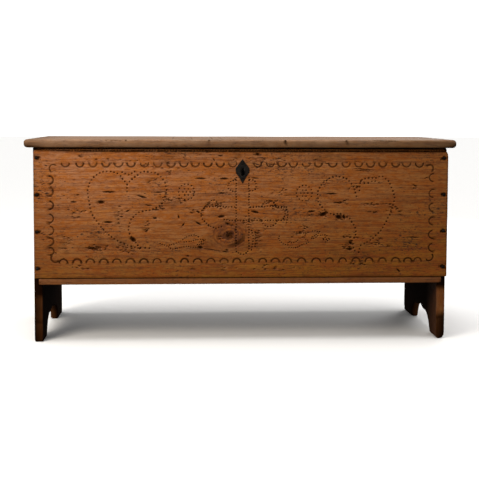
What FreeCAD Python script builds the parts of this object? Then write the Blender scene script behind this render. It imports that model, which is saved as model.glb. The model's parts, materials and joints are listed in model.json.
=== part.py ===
"""A plank chest: carved front, end boards that run to the floor as feet, strap-hinged lid and iron lock.

Millimetres. +X to the right, +Y to the back, +Z up. The origin is on the floor under the
middle of the chest, in the middle of its overall length and depth.
"""
import FreeCAD, Part
import os

from FreeCAD import Vector

os.makedirs("parts", exist_ok=True)

# Boards
lid_thickness = 25.0
lid_nose_radius = 5.5
lid_overhang_front = 10.0
lid_overhang_end = 25.0
case_width = 1270.0
case_depth = 480.0
case_height = 597.0
front_thickness = 20.0
back_thickness = 20.0
end_thickness = 25.0
bottom_thickness = 20.0
bottom_underside = 179.0
housing_depth = 8.0
front_drop = 8.0
bottom_setback = 1.5
board_round = 2.0

# Arch between the two feet of an end board
foot_length = 90.0
haunch_height = 60.0
haunch_reach = 74.0
apex_height = 74.0
arch_bend_share = 0.71
ogee_bend_share = 0.55
ogee_rise_share = 0.32

# Till at the left end
till_width = 150.0
till_depth = 118.0
till_drop = 12.0
till_side_thickness = 12.0
till_bottom_thickness = 10.0
till_groove = 5.0

# Hand-made nails
nail_shank = 5.0
nail_tip = 2.0
nail_head = 10.0
nail_head_rise = 1.6
nail_head_top_share = 0.45
front_nail_length = 58.0
front_nail_count = 4
front_nail_top = 23.0
front_nail_bottom = 30.0
bottom_nail_length = 52.0
bottom_nail_count = 3
bottom_nail_inset = 70.0
small_nail_shank = 3.4
small_nail_tip = 1.4
small_nail_head = 7.0
small_nail_head_rise = 1.2
small_nail_length = 17.0

# Escutcheon and keyhole
escutcheon_height = 74.0
escutcheon_width = 42.0
escutcheon_thickness = 2.0
escutcheon_shoulder_share = 0.22
escutcheon_nail_share = 0.6
keyhole_drop = 63.0
keyhole_round = 11.0
keyhole_slot = 7.0
keyhole_height = 26.0

# Lock on the inside of the front board
plate_width = 150.0
plate_height = 92.0
plate_thickness = 3.0
plate_drop = 4.0
plate_corner = 8.0
plate_nail_inset = 9.0
bolt_length = 84.0
bolt_height = 12.0
bolt_depth = 8.0
bolt_above_key = 40.0
bolt_travel = 14.0
bolt_stand_off = 10.0
bolt_play = 0.3
bolt_withdrawn_gap = 3.0
talon_width = 16.0
talon_depth = 4.0
keeper_width = 10.0
keeper_wall = 4.0
keeper_setback = 5.0
keeper_gap = 0.5
spring_width = 6.0
spring_thickness = 1.2
spring_lug = 6.0
spring_setback = 3.0
spring_bow_share = 0.5
key_box_width = 48.0
key_box_depth = 20.0
key_box_wall = 2.5
key_box_below = 30.0

# Staple under the lid
staple_from_key = 45.0
staple_thickness = 6.0
staple_wall = 5.0
staple_eye_play = 1.6
staple_below_bolt = 1.8
staple_foot_length = 62.0
staple_foot_width = 30.0
staple_foot_thickness = 3.0

# Strap hinges
hinge_from_middle = 380.0
leaf_thickness = 3.0
pin_diameter = 5.0
pin_running_gap = 0.05
pin_head_diameter = 8.0
pin_head_thickness = 2.0
knuckle_gap = 0.3
middle_knuckle = 16.0
side_knuckle = 12.0
strap_length = 300.0
strap_tip_width = 24.0
strap_spear_length = 46.0
strap_spear_width = 36.0
tail_length = 130.0
tail_tip_width = 24.0
tail_spear_length = 40.0
tail_spear_width = 34.0
notch_play = 0.4
strap_nail_shares = (0.14, 0.34, 0.54, 0.74, 0.93)
tail_nail_shares = (0.2, 0.55, 0.87)

# How far a cutting shape runs past what it cuts, and how close two places count as one
overrun = 5.0
edge_tolerance = 1e-6

x_axis = Vector(1, 0, 0)
y_axis = Vector(0, 1, 0)
z_axis = Vector(0, 0, 1)

# Places that follow from the sizes
lid_length = case_width + 2 * lid_overhang_end
lid_depth = lid_overhang_front + case_depth
knuckle_radius = pin_diameter / 2 + leaf_thickness
overall_depth = lid_overhang_front + case_depth + 2 * knuckle_radius
front_face = -overall_depth / 2 + lid_overhang_front
front_inner = front_face + front_thickness
back_face = front_face + case_depth
back_inner = back_face - back_thickness
end_inner = case_width / 2 - end_thickness
end_depth = back_inner - front_inner
bottom_top = bottom_underside + bottom_thickness
front_top = case_height - front_drop
key_z = front_top - keyhole_drop
bolt_bottom = key_z + bolt_above_key - bolt_height / 2
plate_face = front_inner + plate_thickness
bolt_front = plate_face + bolt_stand_off
bolt_back = bolt_front + bolt_depth
staple_x = -staple_from_key
bolt_left = staple_x + staple_thickness / 2 + bolt_withdrawn_gap
left_keeper_x = bolt_left + keeper_setback
right_keeper_x = bolt_left + bolt_length - bolt_travel - keeper_setback - keeper_width
pin_y = back_face + knuckle_radius
pin_z = case_height - knuckle_radius
strap_width = middle_knuckle + 2 * knuckle_gap + 2 * side_knuckle


def save(shape, node):
    """Write one sub-part after a last clean-up of its faces."""
    shape = shape.removeSplitter()
    if not shape.isValid():
        raise ValueError(node + " is not a valid solid")
    shape.exportStep("parts/" + node + ".step")
    print(node, "solids", len(shape.Solids), "volume", round(shape.Volume))


def block(x0, x1, y0, y1, z0, z1):
    """A plain block between two corners."""
    return Part.makeBox(x1 - x0, y1 - y0, z1 - z0, Vector(x0, y0, z0))


def prism(points, direction):
    """A closed outline of corner points, pushed along a direction."""
    wire = Part.makePolygon(points + [points[0]])
    return Part.Face(wire).extrude(direction)


def rounded(shape, radius, wanted):
    """Round the edges for which wanted(edge) is true."""
    edges = [edge for edge in shape.Edges if wanted(edge)]
    return shape.makeFillet(radius, edges)


def along(edge, axis):
    """True if a straight edge runs along the axis."""
    start, end = edge.Vertexes[0].Point, edge.Vertexes[-1].Point
    return (end - start).normalize().cross(axis).Length < edge_tolerance


def nail(shank, tip, head, head_rise, length):
    """A square forged nail that points down, the underside of its head at z 0."""
    def square(side, z):
        half = side / 2
        corners = [Vector(x, y, z) for x, y in ((-half, -half), (half, -half), (half, half), (-half, half))]
        return Part.makePolygon(corners + [corners[0]])
    shaft = Part.makeLoft([square(tip, -length), square(shank, 0)], True, True)
    cap = Part.makeLoft([square(head, 0), square(head * nail_head_top_share, head_rise)], True, True)
    return shaft.fuse(cap).removeSplitter()


def board_nail(length):
    return nail(nail_shank, nail_tip, nail_head, nail_head_rise, length)


def small_nail():
    return nail(small_nail_shank, small_nail_tip, small_nail_head, small_nail_head_rise, small_nail_length)


def driven(one, places, axis, degrees):
    """Copies of a nail, turned to its driving direction and set at each place."""
    group = []
    for place in places:
        copy = one.copy()
        copy.rotate(Vector(0, 0, 0), axis, degrees)
        copy.translate(place)
        group.append(copy)
    return Part.makeCompound(group)


def spread(first, last, count):
    """Evenly spaced values from first to last."""
    return [first + (last - first) * step / (count - 1) for step in range(count)]


def lid_board():
    """One plank. Its front edge and ends have a worn round nose, its back edge is square."""
    y0 = front_face - lid_overhang_front
    plank = block(-lid_length / 2, lid_length / 2, y0, y0 + lid_depth,
                  case_height, case_height + lid_thickness)

    def nose(edge):
        middle = edge.CenterOfMass
        at_front = along(edge, x_axis) and abs(middle.y - y0) < edge_tolerance
        at_end = along(edge, y_axis)
        return at_front or at_end
    return rounded(plank, lid_nose_radius, nose)


def keyhole(y0, y1):
    """The keyhole's round and the slot below it, as a solid to cut with."""
    radius = keyhole_round / 2
    half = keyhole_slot / 2
    bottom = key_z - keyhole_height / 2
    round_z = key_z + keyhole_height / 2 - keyhole_round / 2
    hole = Part.makeCylinder(radius, y1 - y0, Vector(0, y0, round_z), y_axis)
    return hole.fuse(block(-half, half, y0, y1, bottom, round_z))


def till_grooves():
    """Housings for the till's two boards, cut into the front and back boards."""
    side_x, bottom_z = till_place()
    y0, y1 = front_inner - till_groove, back_inner + till_groove
    side = block(side_x, side_x + till_side_thickness, y0, y1, bottom_z, case_height + overrun)
    floor = block(-end_inner, side_x, y0, y1, bottom_z, bottom_z + till_bottom_thickness)
    return side.fuse(floor)


def till_place():
    """Left face of the till's side and underside of its floor."""
    side_x = -end_inner + till_width
    bottom_z = case_height - till_drop - till_depth
    return side_x, bottom_z


def front_board():
    """The carved board's plank, over the front edges of the end boards, with the keyhole."""
    plank = block(-case_width / 2, case_width / 2, front_face, front_inner, bottom_top, front_top)

    def outer(edge):
        return abs(edge.CenterOfMass.y - front_face) < edge_tolerance and edge.CenterOfMass.z > bottom_top
    plank = rounded(plank, board_round, outer)
    return plank.cut(keyhole(front_face - overrun, front_inner + overrun)).cut(till_grooves())


def strap_notches():
    """Notches in the top edge of the back board that let the two hinge straps through."""
    half = strap_width / 2 + notch_play
    z0 = case_height - leaf_thickness - notch_play
    left = block(-hinge_from_middle - half, -hinge_from_middle + half, back_inner - overrun,
                 back_face + overrun, z0, case_height + overrun)
    right = left.copy()
    right.translate(Vector(2 * hinge_from_middle, 0, 0))
    return left.fuse(right)


def back_board():
    plank = block(-case_width / 2, case_width / 2, back_inner, back_face, bottom_top, case_height)
    return plank.cut(strap_notches()).cut(till_grooves())


def arch_outline():
    """The opening between two feet: a steep haunch each side and an ogee point in the middle."""
    middle = (front_inner + back_inner) / 2

    def half(sign):
        foot = Vector(0, middle + sign * (end_depth / 2 - foot_length), 0)
        haunch = Vector(0, foot.y - sign * haunch_reach, haunch_height)
        apex = Vector(0, middle, apex_height)
        bend = Vector(0, haunch.y + sign * haunch_reach * arch_bend_share, haunch_height * arch_bend_share)
        rise = (apex_height - haunch_height) * ogee_rise_share
        ogee = Vector(0, haunch.y + (apex.y - haunch.y) * ogee_bend_share, haunch_height + rise)
        return foot, Part.Arc(foot, bend, haunch).toShape(), Part.Arc(haunch, ogee, apex).toShape()
    front_foot, front_haunch, front_ogee = half(-1)
    back_foot, back_haunch, back_ogee = half(1)
    floor = Part.LineSegment(back_foot, front_foot).toShape()
    return Part.Wire(Part.__sortEdges__([front_haunch, front_ogee, back_ogee, back_haunch, floor]))


def end_board(side):
    """A plank that runs to the floor, housed for the bottom and arched between its feet.

    Its back edge is flush with the back of the chest, with a step that the back board sits on.
    """
    inner = side * end_inner
    outer = side * case_width / 2
    plank = block(min(inner, outer), max(inner, outer), front_inner, back_face, 0, case_height)
    plank = plank.cut(block(min(inner, outer) - overrun, max(inner, outer) + overrun, back_inner,
                            back_face + overrun, bottom_top, case_height + overrun))
    groove_end = inner + side * housing_depth
    housing = block(min(inner, groove_end), max(inner, groove_end), front_inner - overrun,
                    back_face + overrun, bottom_underside, bottom_top)
    arch = Part.Face(arch_outline())
    arch.translate(Vector(min(inner, outer) - overrun, 0, 0))
    opening = arch.extrude(Vector(end_thickness + 2 * overrun, 0, 0))
    return plank.cut(housing).cut(opening)


def bottom_board():
    """Held in the end boards' housings. Its front edge shows under the front board."""
    half = end_inner + housing_depth
    return block(-half, half, front_face + bottom_setback, back_face - bottom_setback,
                 bottom_underside, bottom_top)


def till_side():
    side_x, bottom_z = till_place()
    return block(side_x, side_x + till_side_thickness, front_inner - till_groove, back_inner + till_groove,
                 bottom_z, case_height - till_drop)


def till_bottom():
    side_x, bottom_z = till_place()
    return block(-end_inner, side_x, front_inner - till_groove, back_inner + till_groove,
                 bottom_z, bottom_z + till_bottom_thickness)


def end_nail_places(y):
    """Where the front or back board is nailed to the end boards."""
    nail_x = case_width / 2 - end_thickness / 2
    heights = spread(bottom_top + front_nail_bottom, front_top - front_nail_top, front_nail_count)
    return [Vector(side * nail_x, y, z) for side in (-1, 1) for z in heights]


def front_nails():
    return driven(board_nail(front_nail_length), end_nail_places(front_face), x_axis, 90)


def back_nails():
    return driven(board_nail(front_nail_length), end_nail_places(back_face), x_axis, -90)


def bottom_nails():
    """Through each end board into the end of the bottom board."""
    z = (bottom_underside + bottom_top) / 2
    depths = spread(front_inner + bottom_nail_inset, back_inner - bottom_nail_inset, bottom_nail_count)
    one = board_nail(bottom_nail_length)
    left = driven(one, [Vector(-case_width / 2, y, z) for y in depths], y_axis, -90)
    right = driven(one, [Vector(case_width / 2, y, z) for y in depths], y_axis, 90)
    return Part.makeCompound([left, right])


def escutcheon():
    """A lozenge of iron with blunt shoulders, cut for the key."""
    half_w, half_h = escutcheon_width / 2, escutcheon_height / 2
    shoulder = half_h * escutcheon_shoulder_share
    y = front_face - escutcheon_thickness
    corners = [(0, -half_h), (half_w, -shoulder / 2), (half_w, shoulder), (0, half_h), (-half_w, shoulder),
               (-half_w, -shoulder / 2)]
    plate = prism([Vector(x, y, key_z + up) for x, up in corners], Vector(0, escutcheon_thickness, 0))
    return plate.cut(keyhole(y - overrun, front_face + overrun)).cut(escutcheon_nails())


def escutcheon_nails():
    rise = escutcheon_height / 2 * escutcheon_nail_share
    face = front_face - escutcheon_thickness
    places = [Vector(0, face, key_z + rise), Vector(0, face, key_z - rise)]
    return driven(small_nail(), places, x_axis, 90)


def lock_plate():
    """The plate that carries the lock, on the inner face of the front board."""
    top = front_top - plate_drop
    plate = block(-plate_width / 2, plate_width / 2, front_inner, plate_face, top - plate_height, top)
    plate = rounded(plate, plate_corner, lambda edge: along(edge, y_axis))
    return plate.cut(keyhole(front_inner - overrun, plate_face + overrun)).cut(lock_nails())


def lock_nails():
    """Four nails at the corners of the lock plate, driven from inside the chest."""
    x = plate_width / 2 - plate_nail_inset
    top = front_top - plate_drop - plate_nail_inset
    bottom = front_top - plate_drop - plate_height + plate_nail_inset
    places = [Vector(side * x, plate_face, z) for side in (-1, 1) for z in (bottom, top)]
    return driven(small_nail(), places, x_axis, -90)


def bolt_keeper(x0):
    """A bridge of iron on the lock plate that the bolt slides through."""
    z0 = bolt_bottom - bolt_play - keeper_wall
    z1 = bolt_bottom + bolt_height + bolt_play + keeper_wall
    outer = block(x0, x0 + keeper_width, plate_face, bolt_back + bolt_play + keeper_wall, z0, z1)
    outer = rounded(outer, keeper_wall - bolt_play,
                    lambda edge: along(edge, x_axis) and edge.CenterOfMass.y > bolt_back)
    way = block(x0 - overrun, x0 + keeper_width + overrun, bolt_front - bolt_play, bolt_back + bolt_play,
                bolt_bottom - bolt_play, bolt_bottom + bolt_height + bolt_play)
    return outer.cut(way)


def left_bolt_keeper():
    return bolt_keeper(left_keeper_x)


def right_bolt_keeper():
    return bolt_keeper(right_keeper_x)


def lock_bolt():
    """The sliding bolt, with a bevelled nose and the notch that the key turns in."""
    bolt = block(bolt_left, bolt_left + bolt_length, bolt_front, bolt_back,
                 bolt_bottom, bolt_bottom + bolt_height)
    nose = min(bolt_depth, bolt_height) / 4
    tip = [edge for edge in bolt.Edges if edge.BoundBox.XMax < bolt_left + edge_tolerance]
    bolt = bolt.makeChamfer(nose, tip)
    talon = block(-talon_width / 2, talon_width / 2, bolt_front - overrun, bolt_back + overrun,
                  bolt_bottom - overrun, bolt_bottom + talon_depth)
    return bolt.cut(talon)


def bolt_spring():
    """A leaf spring between the keepers that presses on the bolt, riveted to the plate by a lug."""
    top = bolt_bottom + bolt_height + bolt_play
    x0 = left_keeper_x + keeper_width + spring_setback
    x1 = right_keeper_x - spring_setback
    rise = bolt_height * spring_bow_share
    y0 = bolt_front + (bolt_depth - spring_width) / 2
    low = [Vector(x0, y0, top + rise), Vector((x0 + x1) / 2, y0, top), Vector(x1, y0, top + rise)]
    high = [point + Vector(0, 0, spring_thickness) for point in low]
    under = Part.Arc(*low).toShape()
    over = Part.Arc(*high).toShape()
    ends = [Part.LineSegment(low[0], high[0]).toShape(), Part.LineSegment(low[2], high[2]).toShape()]
    leaf = Part.Face(Part.Wire(Part.__sortEdges__([under, over] + ends))).extrude(Vector(0, spring_width, 0))
    lug = block(x1 - spring_lug, x1, plate_face, y0 + spring_width, top + rise, top + rise + spring_lug)
    return leaf.fuse(lug)


def key_box():
    """A small iron box over the keyhole that guides the end of the key."""
    half = key_box_width / 2
    z0 = key_z - key_box_below
    z1 = bolt_bottom - bolt_play - keeper_wall - keeper_gap
    y1 = plate_face + key_box_depth
    shell = block(-half, half, plate_face, y1, z0, z1)
    shell = rounded(shell, key_box_wall,
                    lambda edge: along(edge, z_axis) and edge.CenterOfMass.y > plate_face)
    room = block(-half + key_box_wall, half - key_box_wall, plate_face - overrun, y1 - key_box_wall,
                 z0 + key_box_wall, z1 + overrun)
    return shell.cut(room).cut(keyhole(y1 - key_box_wall - overrun, y1 + overrun))


def lid_staple():
    """A forged eye under the lid, standing across the bolt, with its foot nailed to the lid."""
    eye_y0, eye_y1 = bolt_front - staple_eye_play, bolt_back + staple_eye_play
    y0, y1 = eye_y0 - staple_wall, eye_y1 + staple_wall
    eye_z0 = bolt_bottom - staple_below_bolt
    eye_z1 = bolt_bottom + bolt_height + staple_below_bolt
    x0, x1 = staple_x - staple_thickness / 2, staple_x + staple_thickness / 2
    z1 = case_height - staple_foot_thickness
    tongue = block(x0, x1, y0, y1, eye_z0 - staple_wall, z1)
    corner = (y1 - y0) / 3
    tongue = rounded(tongue, corner, lambda edge: along(edge, x_axis) and edge.CenterOfMass.z < eye_z0)
    eye = block(x0 - overrun, x1 + overrun, eye_y0, eye_y1, eye_z0, eye_z1)
    middle = (y0 + y1) / 2
    half = staple_foot_length / 2
    side = staple_foot_width / 2
    foot = block(staple_x - half, staple_x + half, middle - side, middle + side, z1, case_height)
    foot = rounded(foot, staple_foot_width / 3, lambda edge: along(edge, z_axis))
    return tongue.cut(eye).fuse(foot).cut(staple_nails())


def staple_nails():
    x = staple_foot_length / 2 - small_nail_head
    middle = (bolt_front + bolt_back) / 2
    y = staple_foot_width / 2 - small_nail_head
    z = case_height - staple_foot_thickness
    places = [Vector(staple_x + i * x, middle + j * y, z) for i in (-1, 1) for j in (-1, 1)]
    return driven(small_nail(), places, x_axis, 180)


def leaf_outline(root, tip_width, length, spear_length, spear_width):
    """Half-open outline of a hinge leaf: it tapers from its root and ends in a spear point."""
    neck = length - spear_length
    shoulder = neck + spear_length / 3
    return [(-root / 2, 0), (-tip_width / 2, neck), (-spear_width / 2, shoulder), (0, length),
            (spear_width / 2, shoulder), (tip_width / 2, neck), (root / 2, 0)]


def knuckles(x, spans, bore):
    """Rolled knuckles on the hinge axis, one for each span of x."""
    rolls = []
    for x0, x1 in spans:
        roll = Part.makeCylinder(knuckle_radius, x1 - x0, Vector(x + x0, pin_y, pin_z), x_axis)
        rolls.append(roll.cut(Part.makeCylinder(bore, x1 - x0, Vector(x + x0, pin_y, pin_z), x_axis)))
    return rolls


def lid_strap(x):
    """The lid's leaf: a long strap under the lid, rolled round the pin in the middle."""
    outline = leaf_outline(strap_width, strap_tip_width, strap_length, strap_spear_length, strap_spear_width)
    z = case_height - leaf_thickness
    points = [Vector(x + across, back_face - down, z) for across, down in outline]
    strap = prism(points, Vector(0, 0, leaf_thickness))
    half = middle_knuckle / 2
    tongue = block(x - half, x + half, back_face, pin_y, z, case_height)
    bore = pin_diameter / 2 + pin_running_gap
    hole = Part.makeCylinder(bore, middle_knuckle, Vector(x - half, pin_y, pin_z), x_axis)
    roll = knuckles(x, [(-half, half)], bore)[0]
    return strap.fuse(tongue.cut(hole)).fuse(roll).cut(strap_nails())


def hinge_tail(x):
    """The back board's leaf, rolled round the pin on both sides of the lid's leaf."""
    outline = leaf_outline(strap_width, tail_tip_width, tail_length, tail_spear_length, tail_spear_width)
    points = [Vector(x + across, back_face, pin_z - down) for across, down in outline]
    tail = prism(points, Vector(0, leaf_thickness, 0))
    inner = middle_knuckle / 2 + knuckle_gap
    room = Part.makeCylinder(knuckle_radius + knuckle_gap, 2 * inner, Vector(x - inner, pin_y, pin_z), x_axis)
    spans = [(-strap_width / 2, -inner), (inner, strap_width / 2)]
    leaf = tail.cut(room)
    for roll in knuckles(x, spans, pin_diameter / 2):
        leaf = leaf.fuse(roll)
    return leaf.cut(tail_nails())


def hinge_pin(x):
    """A pin with a peened head at each end."""
    half = strap_width / 2
    shaft = Part.makeCylinder(pin_diameter / 2, strap_width, Vector(x - half, pin_y, pin_z), x_axis)
    head = pin_head_diameter / 2
    left_end = Vector(x - half - pin_head_thickness, pin_y, pin_z)
    left = Part.makeCylinder(head, pin_head_thickness, left_end, x_axis)
    right = Part.makeCylinder(head, pin_head_thickness, Vector(x + half, pin_y, pin_z), x_axis)
    return shaft.fuse(left).fuse(right)


def strap_nails():
    """Nails up through both straps into the lid."""
    z = case_height - leaf_thickness
    places = [Vector(side * hinge_from_middle, back_face - strap_length * share, z)
              for side in (-1, 1) for share in strap_nail_shares]
    return driven(small_nail(), places, x_axis, 180)


def tail_nails():
    """Nails through both tails into the back board."""
    places = [Vector(side * hinge_from_middle, back_face + leaf_thickness, pin_z - tail_length * share)
              for side in (-1, 1) for share in tail_nail_shares]
    return driven(small_nail(), places, x_axis, -90)


save(lid_board(), "lid_board")
save(front_board(), "front_board")
save(back_board(), "back_board")
save(end_board(-1), "left_end_board")
save(end_board(1), "right_end_board")
save(bottom_board(), "bottom_board")
save(till_side(), "till_side")
save(till_bottom(), "till_bottom")
save(front_nails(), "front_nails")
save(back_nails(), "back_nails")
save(bottom_nails(), "bottom_nails")
save(escutcheon(), "escutcheon")
save(escutcheon_nails(), "escutcheon_nails")
save(lock_plate(), "lock_plate")
save(lock_nails(), "lock_nails")
save(left_bolt_keeper(), "left_bolt_keeper")
save(right_bolt_keeper(), "right_bolt_keeper")
save(lock_bolt(), "lock_bolt")
save(bolt_spring(), "bolt_spring")
save(key_box(), "key_box")
save(lid_staple(), "lid_staple")
save(staple_nails(), "staple_nails")
save(lid_strap(-hinge_from_middle), "left_lid_strap")
save(lid_strap(hinge_from_middle), "right_lid_strap")
save(hinge_tail(-hinge_from_middle), "left_hinge_tail")
save(hinge_tail(hinge_from_middle), "right_hinge_tail")
save(hinge_pin(-hinge_from_middle), "left_hinge_pin")
save(hinge_pin(hinge_from_middle), "right_hinge_pin")
save(strap_nails(), "strap_nails")
save(tail_nails(), "tail_nails")
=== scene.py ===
"""A carved plank chest of old waxed pine, with a forged lock, strap hinges and hand-made nails.

Sizes are written in millimetres and turned to Blender's metres by mm. The chest stands on the
floor at z 0, +X to its right as one faces it, +Y to its back.
"""
import bpy
import bmesh
import json
import math
import random
import numpy as np

from functools import partial
from mathutils import Matrix, Vector, kdtree, noise
from mathutils.geometry import delaunay_2d_cdt


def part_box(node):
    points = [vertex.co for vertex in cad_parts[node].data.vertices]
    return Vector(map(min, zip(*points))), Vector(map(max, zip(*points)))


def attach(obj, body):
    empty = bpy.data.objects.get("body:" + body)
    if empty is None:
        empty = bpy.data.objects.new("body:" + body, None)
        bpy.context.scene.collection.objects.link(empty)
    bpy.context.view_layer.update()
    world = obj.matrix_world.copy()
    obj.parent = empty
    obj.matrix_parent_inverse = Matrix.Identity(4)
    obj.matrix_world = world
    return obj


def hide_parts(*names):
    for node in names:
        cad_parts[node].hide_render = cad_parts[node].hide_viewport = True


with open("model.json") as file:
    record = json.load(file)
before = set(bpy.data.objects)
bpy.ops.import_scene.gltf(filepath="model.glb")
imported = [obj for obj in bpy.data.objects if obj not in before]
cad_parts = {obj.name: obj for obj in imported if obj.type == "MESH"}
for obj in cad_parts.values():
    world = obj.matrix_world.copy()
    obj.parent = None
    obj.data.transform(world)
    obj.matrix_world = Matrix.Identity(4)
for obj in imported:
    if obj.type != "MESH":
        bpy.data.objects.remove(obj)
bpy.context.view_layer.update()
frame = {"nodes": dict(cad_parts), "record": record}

mm = 0.001
chance = random.Random(1760)
bodies = frame["record"]["behaviour"]["bodies"]

# The photograph's camera: where it stood, how it was turned, and its lens in pixels of the picture
camera_place = (-164.7, -3225.3, 693.5)
camera_yaw = 0.05212
camera_pitch = 0.06299
camera_roll = 0.0031
picture_side = 479
lens_pixels = 982.7
axis_pixel_y = 178
sensor_width = 36

# Arch between the feet
foot_length = 90
haunch_reach = 74
haunch_height = 60
apex_height = 74
arch_bend_share = 0.71
ogee_bend_share = 0.55
ogee_rise_share = 0.32

# Width of a year's ring, and how far the rings wander. In old pine they are 2 to 3 mm wide, too fine to
# show, so they are drawn wider.
ring_width = 6.5
ring_wander = 60

# Sizes of the wood's other patterns: flecks and specks, drawn coarser than real ones so that they show,
# the drifts that they gather in, and patches where an arris is rubbed
fleck_length, fleck_height = 13, 4.0
speck_size = 4.4
drift_sizes = (150, 150, 80)
rub_patch = 40

# Grain round a knot: the knot's stretch along the grain, how far it pushes the grain aside, how fast the
# push fades, and how wide its ripples are
knot_stretch = 0.75
knot_push = -0.85
knot_fade = 1.6
knot_ripple = 22

# Painted shade, with some smoke: the outside grows darker toward the right and toward the floor, away from
# the window's light: from where to where, and its tint
shade_and_smoke_across = (-450, 635)
shade_and_smoke_down = (560, 200)
shade_and_smoke_tint = "#BAAC30"

# Forged iron: widths of a hammer mark, a pit, a patch of thin scale and a patch of rust, how much of an
# arris is eased, and from how many degrees on an edge is one
hammer_mark = 11
iron_pit = 2.2
scale_patch = 14
rust_patch = 30
iron_arris = 0.45
eased_turn = 40

# A nail's head, in rings: shares of its half width and of its rise
nail_head_rings = ((0.42, 1.0), (0.98, 0.38), (0.96, 0.0))

# Edges that turn more than this many degrees stay sharp, on boards and ironwork and on nails
sharp_turn = 50
nail_sharp_turn = 22

# Corners of a CAD mesh that lie this near each other, in metres, are one corner
weld_gap = 1e-6

# Keyhole and its plate
keyhole_round = 11
keyhole_slot = 7
keyhole_height = 26
plate_shoulder_shares = ((0, -1), (0.30, -0.71), (0.62, -0.41), (0.93, -0.12), (1, 0.03), (1, 0.2),
                         (0.92, 0.3), (0.5, 0.62), (0, 1))

# Notches in the back board for the two hinge straps
strap_from_middle = 380
notch_half = 20.8
notch_depth = 3.4

# Where points lie: round an arris, in shares of its radius inward from the edge, and on an awl's hole and
# across a groove, in shares of its half width
arris_shares = (0.08, 0.29, 0.62, 1.0)
hole_shares = (0.5, 1.0, 1.4)
groove_shares = (-1.4, -1, -0.45, 0, 0.45, 1, 1.4)

# Over a face the points lie on a loose grid: how far they stray from it, and the room that they keep
# from an arris and from a mark, all in shares of its step
grid_stray = 0.18
arris_room = 0.5
mark_room = 0.45

# Room that a mark's points keep from the border, and an arris's points from them
border_room = 0.6
ring_room = 0.5

# Front board: the radius of its arris, the wood worn off its left end, how far its top edge stands up
# under the lid, and the radii of its corners from the lower left one round
front_arris = 1.8
front_left_wear = 3.2
front_lip = 3.8
front_corners = (3, 4, 24, 14)

# Painted shadow, with some dirt, in the gap under the lid's overhang: how far below the front's top edge, and
# how dark
lid_gap_down = (0, 3, 4.5, 7, 9.5, 12)
lid_gap_shadow_and_dirt = (0.6, 0.65, 1.04, 1.04, 0.5, 0.0)

# Lid: the radii of its corners from the front left one round, and of its nose and its back edge
lid_corners = (16, 18, 5, 5)
nose_radius = 6.4
lid_back_radius = 2.0

# Old scores across the lid and worm holes in its nose, by their places along it, and counts of short
# splits in its top and of grain lines in its nose
lid_scores = (-213, -152, -90, -59, 8, 18, 288, 332, 375, 470)
score_start, score_length, score_points = 12, 430, 60
nose_holes = (-353, -102, 130, 317)
nose_hole_in, nose_hole_depth = 2.2, 0.6
lid_splits = 26
nose_lines = 22

# Front edges of the end boards, from the floor up: height, how dark, how bare. Dirt darkens them, and the
# darkest rows at the top are painted shadow under the bottom board
left_end_edge = ((0, 0.85, 0), (54, 0.7, 0), (62, 0.95, 0), (70, 0.7, 0), (100, 0.72, 0), (134, 0.66, 0),
                 (147, 1.0, 0))
right_end_edge = ((0, 0.9, 0), (50, 0.8, 0), (62, 0.75, 0), (69, 0.97, 0), (76, 0.6, 0.2), (92, 0.05, 0.6),
                  (150, 0.0, 0.5), (158, 0.2, 0.4), (165, 0.85, 0), (172, 0.95, 0))
end_splits = 26

# Gouged border of the front
crescent_width = 24.5
crescent_height = 11.5
crescent_cut = 3.4
border_top = 544
border_bottom = 252
border_left = -578
border_right = 583
top_places = (-535, -492, -452, -414, -376, -338, -297, -257, -217, -178, -143, -106, -67, -29, 47, 85,
              121, 156, 196, 233, 277, 318, 357, 394, 431, 471, 505, 545)
bottom_places = (-543, -502, -462, -421, -382, -341, -300, -260, -218, -176, -136, -96, -55, -16, 22, 63, 102,
                 140, 183, 228, 269, 310, 352, 392, 434, 475, 513, 544)
left_places = (499, 463, 422, 382, 345, 312, 282)
right_places = (506, 457, 413, 372, 329, 289)

# Stain round a nail
stain_radius = 8.5

# Pricked figures: the awl's hole, and how far apart the holes stand
prick_width = 7.6
prick_depth = 2.2
heart_spacing = 11
cross_spacing, cross_size = 8.4, 0.88
spray_spacing, spray_size = 7.2, 0.74

# Hearts: the corners of the space that each fills, and its strokes in hundredths of that space
left_heart = (-469, 290, -231, 524)
left_heart_strokes = (
    ((50, 83), (45, 90), (39, 97), (30, 100), (21, 100), (13, 97), (5, 89), (1, 80), (0, 71), (2, 61),
     (5, 46), (13, 33), (24, 20), (37, 10), (51, 4), (64, 0)),
    ((50, 74), (50, 83), (56, 90), (63, 95), (71, 100), (80, 99), (89, 97), (97, 88), (100, 76),
     (97, 65), (92, 56), (79, 50), (65, 47), (58, 41), (53, 33), (52, 23), (56, 14), (63, 5), (66, 0)),
    ((67, 1), (78, 0)),
    ((44, 99), (52, 96), (60, 100)),
)
right_heart = (233, 275, 468, 509)
right_heart_strokes = (
    ((37, 97), (30, 99), (20, 100), (11, 95), (5, 90), (0, 81), (0, 68), (4, 61), (11, 54), (20, 50),
     (29, 51), (41, 45), (47, 36), (50, 30), (49, 21), (45, 14), (49, 2)),
    ((37, 97), (44, 90), (48, 82), (50, 74)),
    ((54, 82), (56, 94), (66, 98), (75, 98), (84, 100), (93, 93), (97, 84), (100, 76), (100, 68),
     (96, 53), (90, 41), (84, 30), (75, 21), (65, 13), (57, 9), (54, 0)),
    ((56, 94), (63, 91), (72, 94), (80, 92)),
)

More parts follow.
